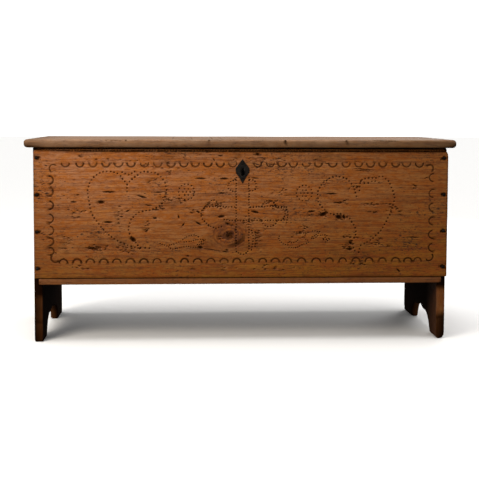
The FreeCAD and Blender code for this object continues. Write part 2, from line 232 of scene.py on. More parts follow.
# Cross with lobed ends
cross = (-138, 270, 140, 508)
cross_strokes = (
    ((43, 99), (43, 60), (43, 10), (44, 3), (50, 0), (56, 4), (57, 12), (57, 60), (57, 99)),
    ((8, 61), (20, 62), (41, 61)),
    ((30, 45), (41, 44), (60, 44), (96, 44)),
    ((59, 61), (80, 62), (96, 61)),
    ((42, 97), (36, 93), (34, 88), (36, 83), (42, 81)),
    ((58, 97), (63, 95), (65, 89), (63, 83), (58, 82)),
    ((10, 62), (13, 67), (18, 70), (22, 67), (24, 62)),
    ((9, 62), (5, 56), (5, 48), (9, 42), (14, 37), (21, 34), (27, 36)),
    ((71, 62), (74, 67), (79, 70), (85, 66), (87, 61)),
    ((71, 43), (74, 38), (79, 36), (85, 38), (88, 43)),
    ((93, 60), (97, 55), (96, 48), (93, 44)),
    ((98, 61), (100, 51), (99, 41)),
    ((60, 31), (62, 20), (60, 6)),
    ((64, 29), (65, 20), (64, 10)),
)

# Leafy sprays at the foot of the cross
left_spray = (-250, 286, -112, 332)
left_spray_strokes = (
    ((0, 40), (14, 25), (27, 4), (43, 13), (57, 20), (72, 13), (88, 13)),
    ((20, 28), (42, 50), (54, 76), (67, 93), (77, 96), (84, 85)),
    ((53, 50), (67, 54), (80, 65), (100, 63), (86, 48), (96, 35), (82, 33)),
)
right_spray = (114, 288, 270, 344)
right_spray_strokes = (
    ((0, 68), (0, 48), (8, 25), (17, 20), (18, 38), (26, 30), (37, 46)),
    ((30, 89), (52, 82), (49, 60), (58, 36), (45, 20), (34, 4), (19, 5)),
    ((66, 96), (80, 89), (64, 60), (67, 54), (80, 71), (94, 71), (86, 48), (100, 54), (92, 34)),
)

# Two small rosettes, each a ring of pricks about a middle one
rosettes = ((-170, 462, 24), (190, 458, 24))

# Splits and worm tracks of the front: ends, half width
front_splits = (
    (-428, 463, -382, 462, 2.2), (-438, 432, -420, 431, 4.4), (-324, 453, -288, 443, 2.2),
    (-268, 461, -240, 462, 1.8), (-299, 423, -273, 421, 1.7), (-272, 408, -252, 409, 1.9),
    (-274, 382, -258, 383, 2.6), (-146, 504, -108, 503, 2.0), (-72, 503, -40, 502, 2.6),
    (-76, 458, -50, 459, 2.0), (-76, 385, -52, 389, 3.2), (26, 404, 52, 398, 3.0), (26, 505, 52, 504, 1.6),
    (198, 400, 226, 404, 2.4), (256, 457, 292, 456, 2.0), (336, 535, 404, 529, 1.2),
    (342, 529, 400, 525, 1.0), (-480, 292, -432, 290, 2.6), (-424, 371, -392, 370, 2.8),
    (-522, 433, -500, 432, 2.0), (-506, 453, -492, 454, 1.6), (278, 430, 312, 427, 1.8),
    (238, 388, 262, 398, 4.6), (290, 387, 304, 381, 5.0), (310, 388, 316, 380, 3.4),
    (-340, 322, -326, 312, 5.2), (-356, 401, -342, 408, 2.0), (-140, 404, -128, 398, 2.4),
    (-136, 294, -120, 291, 3.6), (-129, 291, -62, 280, 1.0), (-62, 280, -40, 277, 1.7),
    (-50, 366, -40, 364, 3.0), (-232, 552, -220, 548, 2.0), (-76, 573, -58, 572, 2.0),
    (42, 578, 50, 576, 3.4), (250, 550, 268, 549, 1.2), (330, 308, 338, 302, 3.6),
    (322, 285, 342, 286, 3.4), (506, 322, 552, 321, 1.5), (78, 433, 96, 434, 2.0),
    (-172, 266, -160, 266, 2.0), (-184, 356, -176, 368, 2.2), (-196, 392, -192, 380, 2.2),
    (-144, 372, -124, 360, 2.6), (478, 225, 490, 212, 2.4), (558, 503, 578, 508, 1.2),
    (-90, 566, -84, 556, 1.6),
)

# Where fine marks crowd together: middle, reach both ways, count
front_scuffs = (
    (-459, 291, 30, 12, 22), (-354, 287, 26, 12, 16), (-295, 359, 8, 22, 12), (-376, 378, 8, 34, 14),
    (-233, 440, 22, 16, 12), (-273, 499, 16, 10, 6), (-68, 421, 26, 12, 12), (-224, 521, 8, 14, 6),
    (-500, 400, 40, 20, 12), (45, 322, 12, 34, 14), (182, 336, 28, 20, 18), (316, 296, 24, 14, 12),
    (310, 432, 20, 8, 8), (392, 424, 26, 4, 8), (394, 400, 20, 3, 6), (346, 478, 20, 10, 8),
    (536, 478, 22, 8, 6), (362, 240, 34, 8, 8), (0, 370, 90, 20, 16), (90, 420, 30, 12, 8),
    (-480, 232, 70, 10, 6), (0, 230, 300, 12, 18),
    (-250, 412, 12, 10, 8), (-200, 438, 26, 10, 8), (-150, 398, 20, 12, 8), (-92, 424, 30, 8, 12),
    (-420, 292, 40, 8, 10), (-540, 300, 24, 24, 10), (120, 470, 40, 20, 8), (232, 398, 24, 14, 12),
    (300, 384, 14, 8, 8), (330, 322, 30, 10, 10), (420, 300, 40, 24, 10), (460, 412, 34, 22, 12),
    (-300, 540, 90, 14, 10), (150, 560, 200, 10, 12), (-430, 560, 120, 10, 8),
)

# Where soot has settled: middle, reach
front_smudges = ((-213, 425, 16), (-226, 566, 12), (-560, 300, 22), (356, 272, 34), (30, 305, 14),
                 (250, 560, 30), (-120, 300, 22), (20, 560, 40), (-440, 318, 26))

# The large knot
knot_x, knot_z, knot_radius = -44, 330, 27
knot_arc = ((5, 334), (4, 322), (-3, 313), (-15, 305), (-29, 299), (-45, 297))
knot_ring = ((8, 364), (12, 340), (4, 316), (-14, 300), (-42, 292), (-68, 300), (-84, 318), (-86, 342),
             (-74, 362), (-52, 374))
knot_blots = ((-46, 335, 7, 6, 14), (-69, 322, 6, 5, 5), (-50, 284, 5, 3, 5), (-34, 322, 5, 6, 3))


def linear(hex_colour):
    """An sRGB hex colour as the linear one that the shaders take."""
    channels = [int(hex_colour[start:start + 2], 16) / 255 for start in (1, 3, 5)]
    return tuple(c / 12.92 if c <= 0.04045 else ((c + 0.055) / 1.055) ** 2.4 for c in channels) + (1.0,)


def node(tree, kind, *values, out=0, sockets=None, **settings):
    """Add a shader node with its settings, fill its sockets in order or by name, and give one result."""
    one = tree.nodes.new("ShaderNode" + kind)
    for key, value in settings.items():
        setattr(one, key, value)
    filled = dict(enumerate(values))
    filled.update(sockets or {})
    for key, value in filled.items():
        if isinstance(value, bpy.types.NodeSocket):
            tree.links.new(value, one.inputs[key])
        else:
            one.inputs[key].default_value = value
    return one.outputs[out] if one.outputs else one


def blotches(tree, place, sizes, detail=2.0, roughness=0.5):
    """Noise whose blotches have this size in millimetres, or these along X, Y and Z."""
    scale = tuple(1 / (size * mm) for size in np.broadcast_to(sizes, 3).tolist())
    moved = node(tree, "VectorMath", place, scale, operation="MULTIPLY")
    return node(tree, "TexNoise", moved, sockets={"Scale": 1.0, "Detail": detail, "Roughness": roughness})


def past_knot(tree, place, spot, radius):
    """Bend the grain round a knot, as a stream parts round a stone.

    Gives the bent place, and how far from the knot it is in the knot's radii.
    """
    add = partial(node, tree)
    away = add("VectorMath", place, tuple(value * mm for value in spot), operation="SUBTRACT")
    flat = add("VectorMath", away, (knot_stretch, 0.0, 1.0), operation="MULTIPLY")
    distance = add("VectorMath", flat, operation="LENGTH", out=1)
    ripple = blotches(tree, place, knot_ripple, detail=4.0)
    distance = add("Math", ripple, radius * mm, distance, operation="MULTIPLY_ADD")
    distance = add("Math", distance, radius * mm / 2, operation="SUBTRACT")
    share = add("Math", distance, radius * mm, operation="DIVIDE")
    near = add("Math", 1.0, add("Math", share, 1.0, operation="MAXIMUM"), operation="DIVIDE")
    bend = add("Math", near, knot_fade, operation="POWER")
    rise = add("Math", add("SeparateXYZ", away, out=2), knot_push, operation="MULTIPLY")
    shift = add("CombineXYZ", 0.0, 0.0, add("Math", rise, bend, operation="MULTIPLY"))
    return add("VectorMath", place, shift, operation="ADD"), share


def empty_material(name):
    """A material without nodes, and its node tree."""
    material = bpy.data.materials.new(name)
    material.use_nodes = True
    material.node_tree.nodes.clear()
    return material, material.node_tree


def pine(name, grain, tones, gloss, shine, pith, knot=None, smoke_and_shade=(0.0, 0.0), flecked=0.5):
    """Old softwood plank, planed by hand.

    Its growth rings lie about a pith line along the grain, so a face shows long fine lines and an end
    shows arcs. Wax and handling leave it warm brown with a soft sheen, dark flecks and stains.
    Tones: pale earlywood, common, latewood, fibre, reddened wax, honey wax, greyed wood, dirt and painted
    shade, and bare wood without wax. The gloss is the roughness of clean wood and the shine its mirror level.
    The pith is a point on the pith line, the knot a place and a radius. Smoke and shade says how dark it
    grows to the right and below, partly smoke and partly painted shade, and flecked how dark its flecks are.
    """
    material, tree = empty_material(name)
    add = partial(node, tree)
    early, common, late, fibre, wax, honey, greyed, dirt_and_shade, bare = [linear(tone) for tone in tones]
    axis = "XYZ".index(grain)
    place = bent = add("TexCoord", out="Object")
    if knot:
        bent, knot_share = past_knot(tree, place, knot[:3], knot[3])

    def lying(length, height):
        return tuple(length if number == axis else height for number in range(3))

    # Growth rings, told by the distance from the pith, clear in some places and faint in others
    wander = blotches(tree, bent, lying(900, 70))
    from_pith = add("VectorMath", bent, tuple(value * mm for value in pith), operation="SUBTRACT")
    from_pith = add("VectorMath", from_pith, lying(0.03, 1.0), operation="MULTIPLY")
    reach = add("VectorMath", from_pith, operation="LENGTH", out=1)
    reach = add("Math", wander, ring_wander * mm, reach, operation="MULTIPLY_ADD")
    ring = add("Math", add("Math", reach, ring_width * mm, operation="DIVIDE"), operation="FRACT")
    clear = add("MapRange", blotches(tree, bent, lying(300, 60)), 0.35, 0.65, 0.10, 0.75)
    ring_share = add("MapRange", ring, 0.3, 0.95, interpolation_type="SMOOTHSTEP")
    coats = [(add("Math", ring_share, clear, operation="MULTIPLY"), late)]

    # Coats along the grain: length and height of a blotch, where it starts and is full, share, colour.
    # Real fibres are under 1 mm and wouldn't show, so the finest coats are drawn coarser.
    for length, height, start, full, share, tone in (
            (520, 44, 0.42, 0.62, 0.48, late),      # broad duller bands
            (330, 30, 0.46, 0.70, 0.50, wax),       # redder wax
            (240, 14, 0.46, 0.60, 0.62, early),     # pale stripes
            (34, 16, 0.46, 0.64, 0.38, late),       # mottling left by the plane
            (260, 60, 0.44, 0.60, 0.65, honey),     # wax that has yellowed, broad
            (110, 26, 0.44, 0.58, 0.75, honey),     # and in patches
            (80, 20, 0.46, 0.60, 0.70, greyed),     # wood that has lost its wax
            (24, 8, 0.48, 0.60, 0.55, honey),       # the same two, a finger wide
            (18, 7, 0.48, 0.60, 0.55, greyed),
            (150, 3.6, 0.46, 0.62, 0.46, fibre),    # fibre lines a hand long
            (20, 3.2, 0.52, 0.64, 0.55, fibre)):    # short fibres
        cover = blotches(tree, bent, lying(length, height), detail=4.0, roughness=0.6)
        coats.append((add("MapRange", cover, start, full, 0.0, share, interpolation_type="SMOOTHSTEP"), tone))

    core = 0.0
    if knot:
        near = add("MapRange", knot_share, 2.2, 0.5, 0.0, 1.0, interpolation_type="SMOOTHSTEP")
        coats.append((add("Math", near, 0.6, operation="MULTIPLY"), late))
        for size, start, full, share, tone in ((40, 0.40, 0.62, 0.6, fibre), (14, 0.48, 0.60, 0.7, fibre),
                                               (18, 0.48, 0.60, 0.8, honey)):
            patch = blotches(tree, place, size, detail=4.0, roughness=0.65)
            patch = add("MapRange", patch, start, full, 0.0, share, interpolation_type="SMOOTHSTEP")
            coats.append((add("Math", near, patch, operation="MULTIPLY"), tone))
        around = add("Math", add("Math", knot_share, 2.3, operation="MULTIPLY"), operation="FRACT")
        around = add("MapRange", around, 0.5, 0.9, 0.0, 0.8, interpolation_type="SMOOTHSTEP")
        coats.append((add("Math", near, around, operation="MULTIPLY"), fibre))
        core = add("MapRange", knot_share, 0.50, 0.12, 0.0, 0.90, interpolation_type="SMOOTHSTEP")

    # Bare or bleached wood shows its own fibres over it
    bared = add("Math", add("Attribute", attribute_name="bare", out="Fac"), 0.85, operation="MULTIPLY")
    coats.insert(3, (bared, bare))

    # Dark flecks that gather in drifts, and specks of soot
    drift = blotches(tree, place, drift_sizes, detail=1.0)
    fleck = blotches(tree, bent, lying(fleck_length, fleck_height), roughness=0.55)
    fleck = add("Math", drift, 0.4, fleck, operation="MULTIPLY_ADD")
    fleck = add("MapRange", fleck, 0.83, 0.93, 0.0, flecked, interpolation_type="SMOOTHSTEP")
    speck = blotches(tree, place, speck_size, roughness=0.6)
    speck = add("Math", drift, 0.3, speck, operation="MULTIPLY_ADD")
    coats += [(fleck, dirt_and_shade), (add("MapRange", speck, 0.78, 0.86, 0.0, flecked * 0.6), dirt_and_shade)]

    # Pale rubbed arrises, and dirt in cuts and round the nails. The same dark tone also paints shade: under
    # the lid's overhang, inside the feet, on the lid's underside and at the tops of the end boards' front
    # edges
    rub = add("Attribute", attribute_name="rub", out="Fac")
    patchy = add("MapRange", blotches(tree, place, rub_patch, detail=3.0), 0.35, 0.65, 0.0, 0.4)
    grime_and_shade = add("Math", add("Attribute", attribute_name="grime_and_shade", out="Fac"), core, operation="MAXIMUM")
    side, up = [add("SeparateXYZ", place, out=number) for number in (0, 2)]
    coats += [(add("Math", rub, patchy, operation="MULTIPLY"), early),
              (add("Math", grime_and_shade, 0.96, operation="MULTIPLY", use_clamp=True), dirt_and_shade)]
    colour = common
    for share, tone in coats:
        colour = add("Mix", data_type="RGBA", out=2, sockets={0: share, 6: colour, 7: tone})

    # Painted shade and smoke darken waxed wood toward the right and below, and bare wood less
    aside = add("MapRange", side, shade_and_smoke_across[0] * mm, shade_and_smoke_across[1] * mm, 0.0, smoke_and_shade[0])
    below = add("MapRange", up, shade_and_smoke_down[0] * mm, shade_and_smoke_down[1] * mm, 0.0, smoke_and_shade[1])
    smoke_and_shade_share = add("VectorMath", add("CombineXYZ", aside, below, 0.0), operation="LENGTH", out=1)
    smoke_and_shade_share = add("Math", smoke_and_shade_share, add("Math", 1.0, bared, operation="SUBTRACT"), operation="MULTIPLY")
    colour = add("Mix", data_type="RGBA", blend_type="MULTIPLY", out=2,
                 sockets={0: smoke_and_shade_share, 6: colour, 7: linear(shade_and_smoke_tint)})

    # Surface: raised latewood, sunk flecks, and wax that is duller where it is dirty and where shade is
    # painted
    height = add("Math", cover, 0.9, add("Math", ring, 0.2, operation="MULTIPLY"), operation="MULTIPLY_ADD")
    height = add("Math", fleck, -0.8, height, operation="MULTIPLY_ADD")
    bump = add("Bump", sockets={"Strength": 0.6, "Distance": 0.5 * mm, "Height": height})
    rough = add("Math", cover, 0.18, gloss, operation="MULTIPLY_ADD")
    rough = add("Math", add("Math", fleck, grime_and_shade, operation="MAXIMUM"), 0.3, rough, operation="MULTIPLY_ADD")
    level = add("Math", grime_and_shade, -0.96 * shine, shine, operation="MULTIPLY_ADD", use_clamp=True)
    shader = add("BsdfPrincipled", sockets={"Base Color": colour, "Roughness": rough, "IOR": 1.47,
                                            "Specular IOR Level": level, "Normal": bump})
    add("OutputMaterial", shader)
    return material


def forged_iron(name, dark, pale, rust, rust_share, gloss):
    """Wrought iron, hammered hot and left with its black scale: dull, dented, brown where it has rusted."""
    material, tree = empty_material(name)
    add = partial(node, tree)
    place = add("TexCoord", out="Object")
    cloud = blotches(tree, place, scale_patch, detail=5.0, roughness=0.65)
    worn = add("MapRange", cloud, 0.3, 0.7)
    eaten = blotches(tree, place, rust_patch, detail=6.0, roughness=0.7)
    rusted = add("MapRange", eaten, 0.72 - rust_share, 0.82 - rust_share, 0.0, 0.8)
    colour = linear(dark)
    for share, tone in ((worn, pale), (rusted, rust)):
        colour = add("Mix", data_type="RGBA", out=2, sockets={0: share, 6: colour, 7: linear(tone)})
    scaled = add("VectorMath", place, operation="SCALE", sockets={"Scale": 1 / (hammer_mark * mm)})
    dents = add("TexVoronoi", scaled, feature="SMOOTH_F1", sockets={"Scale": 1.0, "Smoothness": 0.8})
    pits = add("Math", blotches(tree, place, iron_pit, detail=3.0), 0.35, operation="MULTIPLY")
    height = add("Math", dents, 0.8, pits, operation="MULTIPLY_ADD")
    bump = add("Bump", sockets={"Strength": 0.7, "Distance": 0.5 * mm, "Height": height})
    rough = add("Math", cloud, 0.2, gloss, operation="MULTIPLY_ADD")
    rough = add("Math", rusted, 0.3, rough, operation="MULTIPLY_ADD")
    metal = add("Math", rusted, -0.85, 0.9, operation="MULTIPLY_ADD")
    shader = add("BsdfPrincipled", sockets={"Base Color": colour, "Metallic": metal, "Roughness": rough,
                                            "Normal": bump})
    add("OutputMaterial", shader)
    return material


def wobble(u, v, size, seed):
    """A soft wave over a face, from -1 to 1, whose swells are about this wide in millimetres."""
    wide, high = size
    return noise.noise(Vector((u / wide, v / high, seed)))


def smooth_line(points, steps=10):
    """Many points along a smooth line through a few."""
    ends = [points[0]] + list(points) + [points[-1]]
    line = []
    for a, b, c, d in zip(ends, ends[1:], ends[2:], ends[3:]):
        for step in range(steps):
            t = step / steps
            line.append(tuple((2 * b[i] + (c[i] - a[i]) * t + (2 * a[i] - 5 * b[i] + 4 * c[i] - d[i]) * t ** 2
                               + (3 * b[i] - a[i] - 3 * c[i] + d[i]) * t ** 3) / 2 for i in (0, 1)))
    return line + [tuple(points[-1])]


def evenly(line, spacing):
    """Points a spacing apart along a line, the last one on its end."""
    lengths = [math.dist(a, b) for a, b in zip(line, line[1:])]
    total = sum(lengths)
    count = max(1, round(total / spacing))
    points, run, number = [line[0]], 0.0, 0
    for step in range(1, count):
        goal = total * step / count
        while run + lengths[number] < goal:
            run += lengths[number]
            number += 1
        share = (goal - run) / lengths[number]
        a, b = line[number], line[number + 1]
        points.append((a[0] + (b[0] - a[0]) * share, a[1] + (b[1] - a[1]) * share))
    return points + [line[-1]]


def arc_through(a, b, c, steps):
    """Points on the arc from a through b to c, without the first."""
    ax, ay, bx, by, cx, cy = *a, *b, *c
    d = 2 * (ax * (by - cy) + bx * (cy - ay) + cx * (ay - by))
    sa, sb, sc = ax * ax + ay * ay, bx * bx + by * by, cx * cx + cy * cy
    x = (sa * (by - cy) + sb * (cy - ay) + sc * (ay - by)) / d
    y = (sa * (cx - bx) + sb * (ax - cx) + sc * (bx - ax)) / d
    first = math.atan2(ay - y, ax - x)
    middle = (math.atan2(by - y, bx - x) - first) % math.tau
    last = (math.atan2(cy - y, cx - x) - first) % math.tau
    sweep = last if middle < last else last - math.tau
    radius = math.hypot(ax - x, ay - y)
    turns = [first + sweep * step / steps for step in range(1, steps + 1)]
    return [(x + radius * math.cos(turn), y + radius * math.sin(turn)) for turn in turns]


def rounded_corners(corners, radii, steps=5):
    """A closed outline with each corner rounded by its own radius."""
    outline = []
    for number, (corner, radius) in enumerate(zip(corners, radii)):
        here = Vector(corner)
        back = (Vector(corners[number - 1]) - here).normalized()
        ahead = (Vector(corners[(number + 1) % len(corners)]) - here).normalized()
        if radius == 0:
            outline.append(tuple(here))
            continue
        for step in range(steps + 1):
            t = step / steps
            outline.append(tuple(here + back * radius * (1 - t) ** 2 + ahead * radius * t ** 2))
    return outline


def divided(loop, spacing):
    """A closed outline with its long runs divided."""
    points = []
    for a, b in zip(loop, loop[1:] + loop[:1]):
        count = max(1, math.ceil(math.dist(a, b) / spacing))
        points += [(a[0] + (b[0] - a[0]) * step / count, a[1] + (b[1] - a[1]) * step / count)
                   for step in range(count)]
    return points


def border_distance(points, starts, ends):
    """How far each point is from the border, the nearest border run, and whether the point is inside."""
    distances, nearest, inside = [], [], []
    run = ends - starts
    squares = np.maximum((run ** 2).sum(1), 1e-12)
    batch = 2000
    for first in range(0, len(points), batch):
        some = points[first:first + batch]
        offset = some[:, None, :] - starts[None]
        share = np.clip((offset * run).sum(2) / squares, 0, 1)
        gap = np.linalg.norm(offset - share[..., None] * run, axis=2)
        nearest.append(gap.argmin(1))
        distances.append(gap.min(1))
        u, v = some[:, None, 0], some[:, None, 1]
        crosses = (starts[:, 1] > v) != (ends[:, 1] > v)
        slope = np.where(run[:, 1] == 0, 1e-12, run[:, 1])
        ahead = u < run[:, 0] * (v - starts[:, 1]) / slope + starts[:, 0]
        inside.append((crosses & ahead).sum(1) % 2 == 1)
    return np.concatenate(distances), np.concatenate(nearest), np.concatenate(inside)


def prick(u, v, depth=prick_depth, size=1.0):
    """A round hole made with an awl."""
    half = prick_width / 2 * size * chance.uniform(0.85, 1.12)
    ring = [(u + half * share * math.cos(turn), v + half * share * math.sin(turn))
            for share in hole_shares for turn in np.linspace(0, math.tau, 8, endpoint=False)]
    return {"spine": [(u, v, half, depth, chance.uniform(0.6, 1.0))], "mesh": ring + [(u, v)]}


def cut(line, half, depth, taper=0.35, dirt_and_shade=1.0):
    """A groove along a line, its ends narrower and shallower than its middle, or wider and darker."""
    spine, mesh = [], []
    count = len(line)
    for number, (u, v) in enumerate(line):
        t = number / (count - 1)
        swell = taper + (1 - taper) * math.sin(math.pi * t) ** 0.6
        before, after = line[max(number - 1, 0)], line[min(number + 1, count - 1)]
        run = Vector((after[0] - before[0], after[1] - before[1])).normalized()
        spine.append((u, v, half * swell, depth * swell, dirt_and_shade * swell / max(1, taper)))
        for side in groove_shares:
            mesh.append((u - run.y * half * swell * side, v + run.x * half * swell * side))
    return {"spine": spine, "mesh": mesh}


def crescent(u, v, turn):
    """One stab of a curved gouge. A turn of zero opens upward."""
    turn += chance.uniform(-0.09, 0.09)
    width = crescent_width * chance.uniform(0.9, 1.04) / 2
    height = crescent_height * chance.uniform(0.9, 1.1)
    line = []
    for angle in np.linspace(-math.pi * 0.97, -math.pi * 0.03, 13):
        x, y = width * math.cos(angle), height * (math.sin(angle) + 0.5)
        line.append((u + x * math.cos(turn) - y * math.sin(turn),
                     v + x * math.sin(turn) + y * math.cos(turn)))
    half = crescent_cut * chance.uniform(0.8, 1.15)
    return cut(line, half, 1.2, taper=1.15, dirt_and_shade=chance.uniform(0.72, 0.95))


def pricked(space, strokes, spacing, size=1.0):
    """Awl holes along every stroke of a figure that fills a space."""
    u0, v0, u1, v1 = space
    marks = []
    for stroke in strokes:
        line = smooth_line([(u0 + (u1 - u0) * a / 100, v0 + (v1 - v0) * b / 100) for a, b in stroke])
        for u, v in evenly(line, spacing):
            marks.append(prick(u + chance.uniform(-0.7, 0.7), v + chance.uniform(-0.7, 0.7), size=size))
    return marks


def rosette(u, v, radius):
    """A ring of awl holes about a small one."""
    marks = []
    for ring, count in ((radius, 14), (radius * 0.45, 6)):
        for turn in np.linspace(0, math.tau, count, endpoint=False):
            marks.append(prick(u + ring * math.cos(turn), v + ring * math.sin(turn), size=cross_size))
    return marks + [prick(u, v)]


def border_marks():
    """The gouged border: open up at the top, down at the bottom, outward at the sides, turned corners."""
    marks = [crescent(u, border_top, 0) for u in top_places]
    marks += [crescent(u, border_bottom, math.pi) for u in bottom_places]
    marks += [crescent(border_left, v, math.pi / 2) for v in left_places]
    marks += [crescent(border_right, v, -math.pi / 2) for v in right_places]
    marks.append(crescent(border_left + 2, border_top - 6, math.pi * 1.25))
    marks.append(crescent(border_right - 2, border_top - 6, math.pi * 0.75))
    marks.append(crescent(border_left + 6, border_bottom + 4, math.pi * 1.75))
    marks.append(crescent(border_right, border_bottom + 4, math.pi * 0.25))
    return marks


def split(u0, v0, u1, v1, half, dirt_and_shade=1.0):
    """A split or worm track that wanders a little along the grain."""
    count = max(4, round(math.dist((u0, v0), (u1, v1)) / 4))
    line = [(u0 + (u1 - u0) * step / count, v0 + (v1 - v0) * step / count + chance.uniform(-0.5, 0.5))
            for step in range(count + 1)]
    return cut(line, half * 1.6, half * 1.2, taper=0.15, dirt_and_shade=dirt_and_shade)


def scuffs(u, v, reach_u, reach_v, count):
    """Short fine marks along the grain, crowded round a place."""
    marks = []
    for _ in range(count):
        x, z = chance.gauss(u, reach_u / 2), chance.gauss(v, reach_v / 2)
        length = chance.uniform(2, 13)
        marks.append(split(x, z, x + length, z + chance.uniform(-1, 1), chance.uniform(1.0, 2.1),
                           chance.uniform(0.4, 0.95)))
    return marks


def smudge(u, v, reach):
    """A soft grey patch where soot and handling have settled in the grain."""
    spots = [(chance.gauss(u, reach), chance.gauss(v, reach * 0.5), chance.uniform(7, 16), 0.0,
              chance.uniform(0.1, 0.3)) for _ in range(12)]
    return {"spine": spots, "mesh": []}


def stain(u, v, side):
    """A bruised, rust-blackened place round a nail, with a ragged edge that runs out along the grain."""
    radius = stain_radius
    spine = [(u, v, radius, 0.7, 1.0), (u - side * 6, v + chance.uniform(-1, 2), radius * 0.7, 0.4, 1.0)]
    for _ in range(7):
        along = chance.uniform(-14, 12)
        spine.append((u + side * along, v + chance.uniform(-5, 5), radius * (0.62 - abs(along) / 40), 0.3,
                      chance.uniform(0.5, 1.0)))
    mesh = [(spot[0] + spot[2] * share * math.cos(turn), spot[1] + spot[2] * share * math.sin(turn))
            for spot in spine for share in (0.5, 1.0) for turn in np.linspace(0, math.tau, 7, endpoint=False)]
    return {"spine": spine, "mesh": mesh + [(u, v)]}


def search_tree(spots):
    """A tree that finds the places on a face that lie near another."""
    tree = kdtree.KDTree(len(spots))
    for number, spot in enumerate(spots):
        tree.insert((spot[0], spot[1], 0), number)
    tree.balance()
    return tree


def sunk(points, marks):
    """How deep each point of a face lies in its marks, and how dirty it is there."""
    spines = [spot for mark in marks for spot in mark["spine"]]
    depth, grime_and_shade = np.zeros(len(points)), np.zeros(len(points))
    if not spines:
        return depth, grime_and_shade
    tree = search_tree(spines)
    widest = max(spot[2] for spot in spines)
    for number, (u, v) in enumerate(points):
        for _, which, gap in tree.find_range((u, v, 0), widest):
            _, _, half, deep, dirt_and_shade = spines[which]
            if gap < half:
                share = 1 - (gap / half) ** 2
                depth[number] = max(depth[number], deep * share)
                grime_and_shade[number] = max(grime_and_shade[number], dirt_and_shade * min(1, share * 1.6))
    return depth, grime_and_shade


def face(border, edges, radius, marks, step, seed):
    """Triangles of one face of a board, with the depth, dirt and wear of each point."""
    starts, ends = border[edges[:, 0]], border[edges[:, 1]]

    # Rings of points round the arris, each moved inward from the border
    run = ends - starts
    normal = np.stack([-run[:, 1], run[:, 0]], 1) / np.linalg.norm(run, axis=1)[:, None]
    at_point = np.zeros_like(border)
    for end in (0, 1):
        np.add.at(at_point, edges[:, end], normal)
    at_point /= np.maximum(np.linalg.norm(at_point, axis=1), 1e-9)[:, None]
    rings = np.concatenate([border + at_point * (radius * share)[:, None] for share in arris_shares])
    wanted = np.concatenate([radius * share for share in arris_shares])
    gap, _, inside = border_distance(rings, starts, ends)
    rings = rings[inside & (gap > wanted * 0.93)]

    # A loose grid over the rest, with room left round the points that draw the marks
    low, high = border.min(0), border.max(0)
    grid = np.array([(u, v) for u in np.arange(low[0], high[0], step[0])
                     for v in np.arange(low[1], high[1], step[1])])
    grid += np.random.default_rng(seed).uniform(-grid_stray, grid_stray, grid.shape) * step
    gap, near, inside = border_distance(grid, starts, ends)
    grid = grid[inside & (gap > radius[edges[near, 0]] + min(step) * arris_room)]
    drawn = [point for mark in marks for point in mark["mesh"]]
    if drawn:
        drawn = np.array(drawn)
        gap, _, inside = border_distance(drawn, starts, ends)
        drawn = drawn[inside & (gap > border_room)]
        tree = search_tree(drawn)
        clear = min(step) * mark_room
        grid = np.array([point for point in grid if tree.find((*point, 0))[2] > clear])
        rings = np.array([point for point in rings if tree.find((*point, 0))[2] > ring_room])
        points = np.concatenate([border, rings, drawn, grid])
    else:
        points = np.concatenate([border, rings, grid])

    # Triangles between them all, without the points that none uses
    _, _, triangles, origin, _, _ = delaunay_2d_cdt([Vector(p) for p in points], edges.tolist(), [], 2, 1e-4)
    source = [which[0] for which in origin]
    triangles = [[source[corner] for corner in triangle] for triangle in triangles]
    used = sorted({corner for triangle in triangles for corner in triangle if corner >= len(border)})
    order = {old: new for new, old in enumerate(list(range(len(border))) + used)}
    points = points[list(range(len(border))) + used]
    triangles = [[order[corner] for corner in triangle] for triangle in triangles]

    # How far the round arris and the marks take each point down
    gap, near, _ = border_distance(points, starts, ends)
    gap[:len(border)] = 0
    own = radius[edges[near, 0]]
    own[:len(border)] = radius
    inward = np.clip(own - gap, 0, own)
    depth = own - np.sqrt(np.maximum(own ** 2 - inward ** 2, 0))
    rub = np.clip(1.4 - gap / np.maximum(own, 0.5), 0, 1)
    cut_depth, grime_and_shade = sunk(points, marks)
    return points, triangles, depth, cut_depth, grime_and_shade, rub


def board(name, outline, thickness, to_world, arris, back_arris, finish, holes=(), marks=(), step=(14, 8),
          swell=0.35, swell_size=(260, 45), seed=1, spacing=9):
    """A plank cut to an outline: marks sunk into its face, arrises worn round, both faces softly hollowed.

    arris and back_arris give the radius of the worn edge at a place on the outline, and finish gives the dirt
    and painted shade, and the bareness of the wood, at a place on one of the two faces.
    """
    loops = [divided(outline, spacing)] + [list(hole) for hole in holes]
    border = np.array([point for loop in loops for point in loop])
    edges, first = [], 0
    for loop in loops:
        edges += [(first + number, first + (number + 1) % len(loop)) for number in range(len(loop))]
        first += len(loop)
    edges = np.array(edges)
    vertices, faces, grime_and_shade_values, rubs, bares = [], [], [], [], []
    for back, radius_of, face_marks in ((False, arris, marks), (True, back_arris, ())):
        radius = np.array([radius_of(u, v) for u, v in border])
        points, triangles, depth, cut_depth, grime_and_shade, rub = face(
            border, edges, radius, face_marks, np.array(step), seed + back)
        wave = np.array([abs(wobble(u, v, swell_size, seed + 7 * back)) * swell for u, v in points])
        wave[:len(border)] *= 0.3
        depth = depth + cut_depth + wave
        w = thickness - depth if back else depth
        base = len(vertices)
        vertices += [to_world(u, v, inward) for (u, v), inward in zip(points, w)]
        faces += [[base + corner for corner in triangle] for triangle in triangles]
        finishes = [finish(u, v, back) for u, v in points]
        grime_and_shade_values += [max(value, dirt_and_shade) for value, (dirt_and_shade, _) in zip(grime_and_shade, finishes)]
        bares += [bare for _, bare in finishes]
        rubs += list(rub)
    for a, b in edges:
        faces.append([a, b, base + b, base + a])
    return made(name, [Vector(p) * mm for p in vertices], faces,
                {"grime_and_shade": grime_and_shade_values, "rub": rubs, "bare": bares})


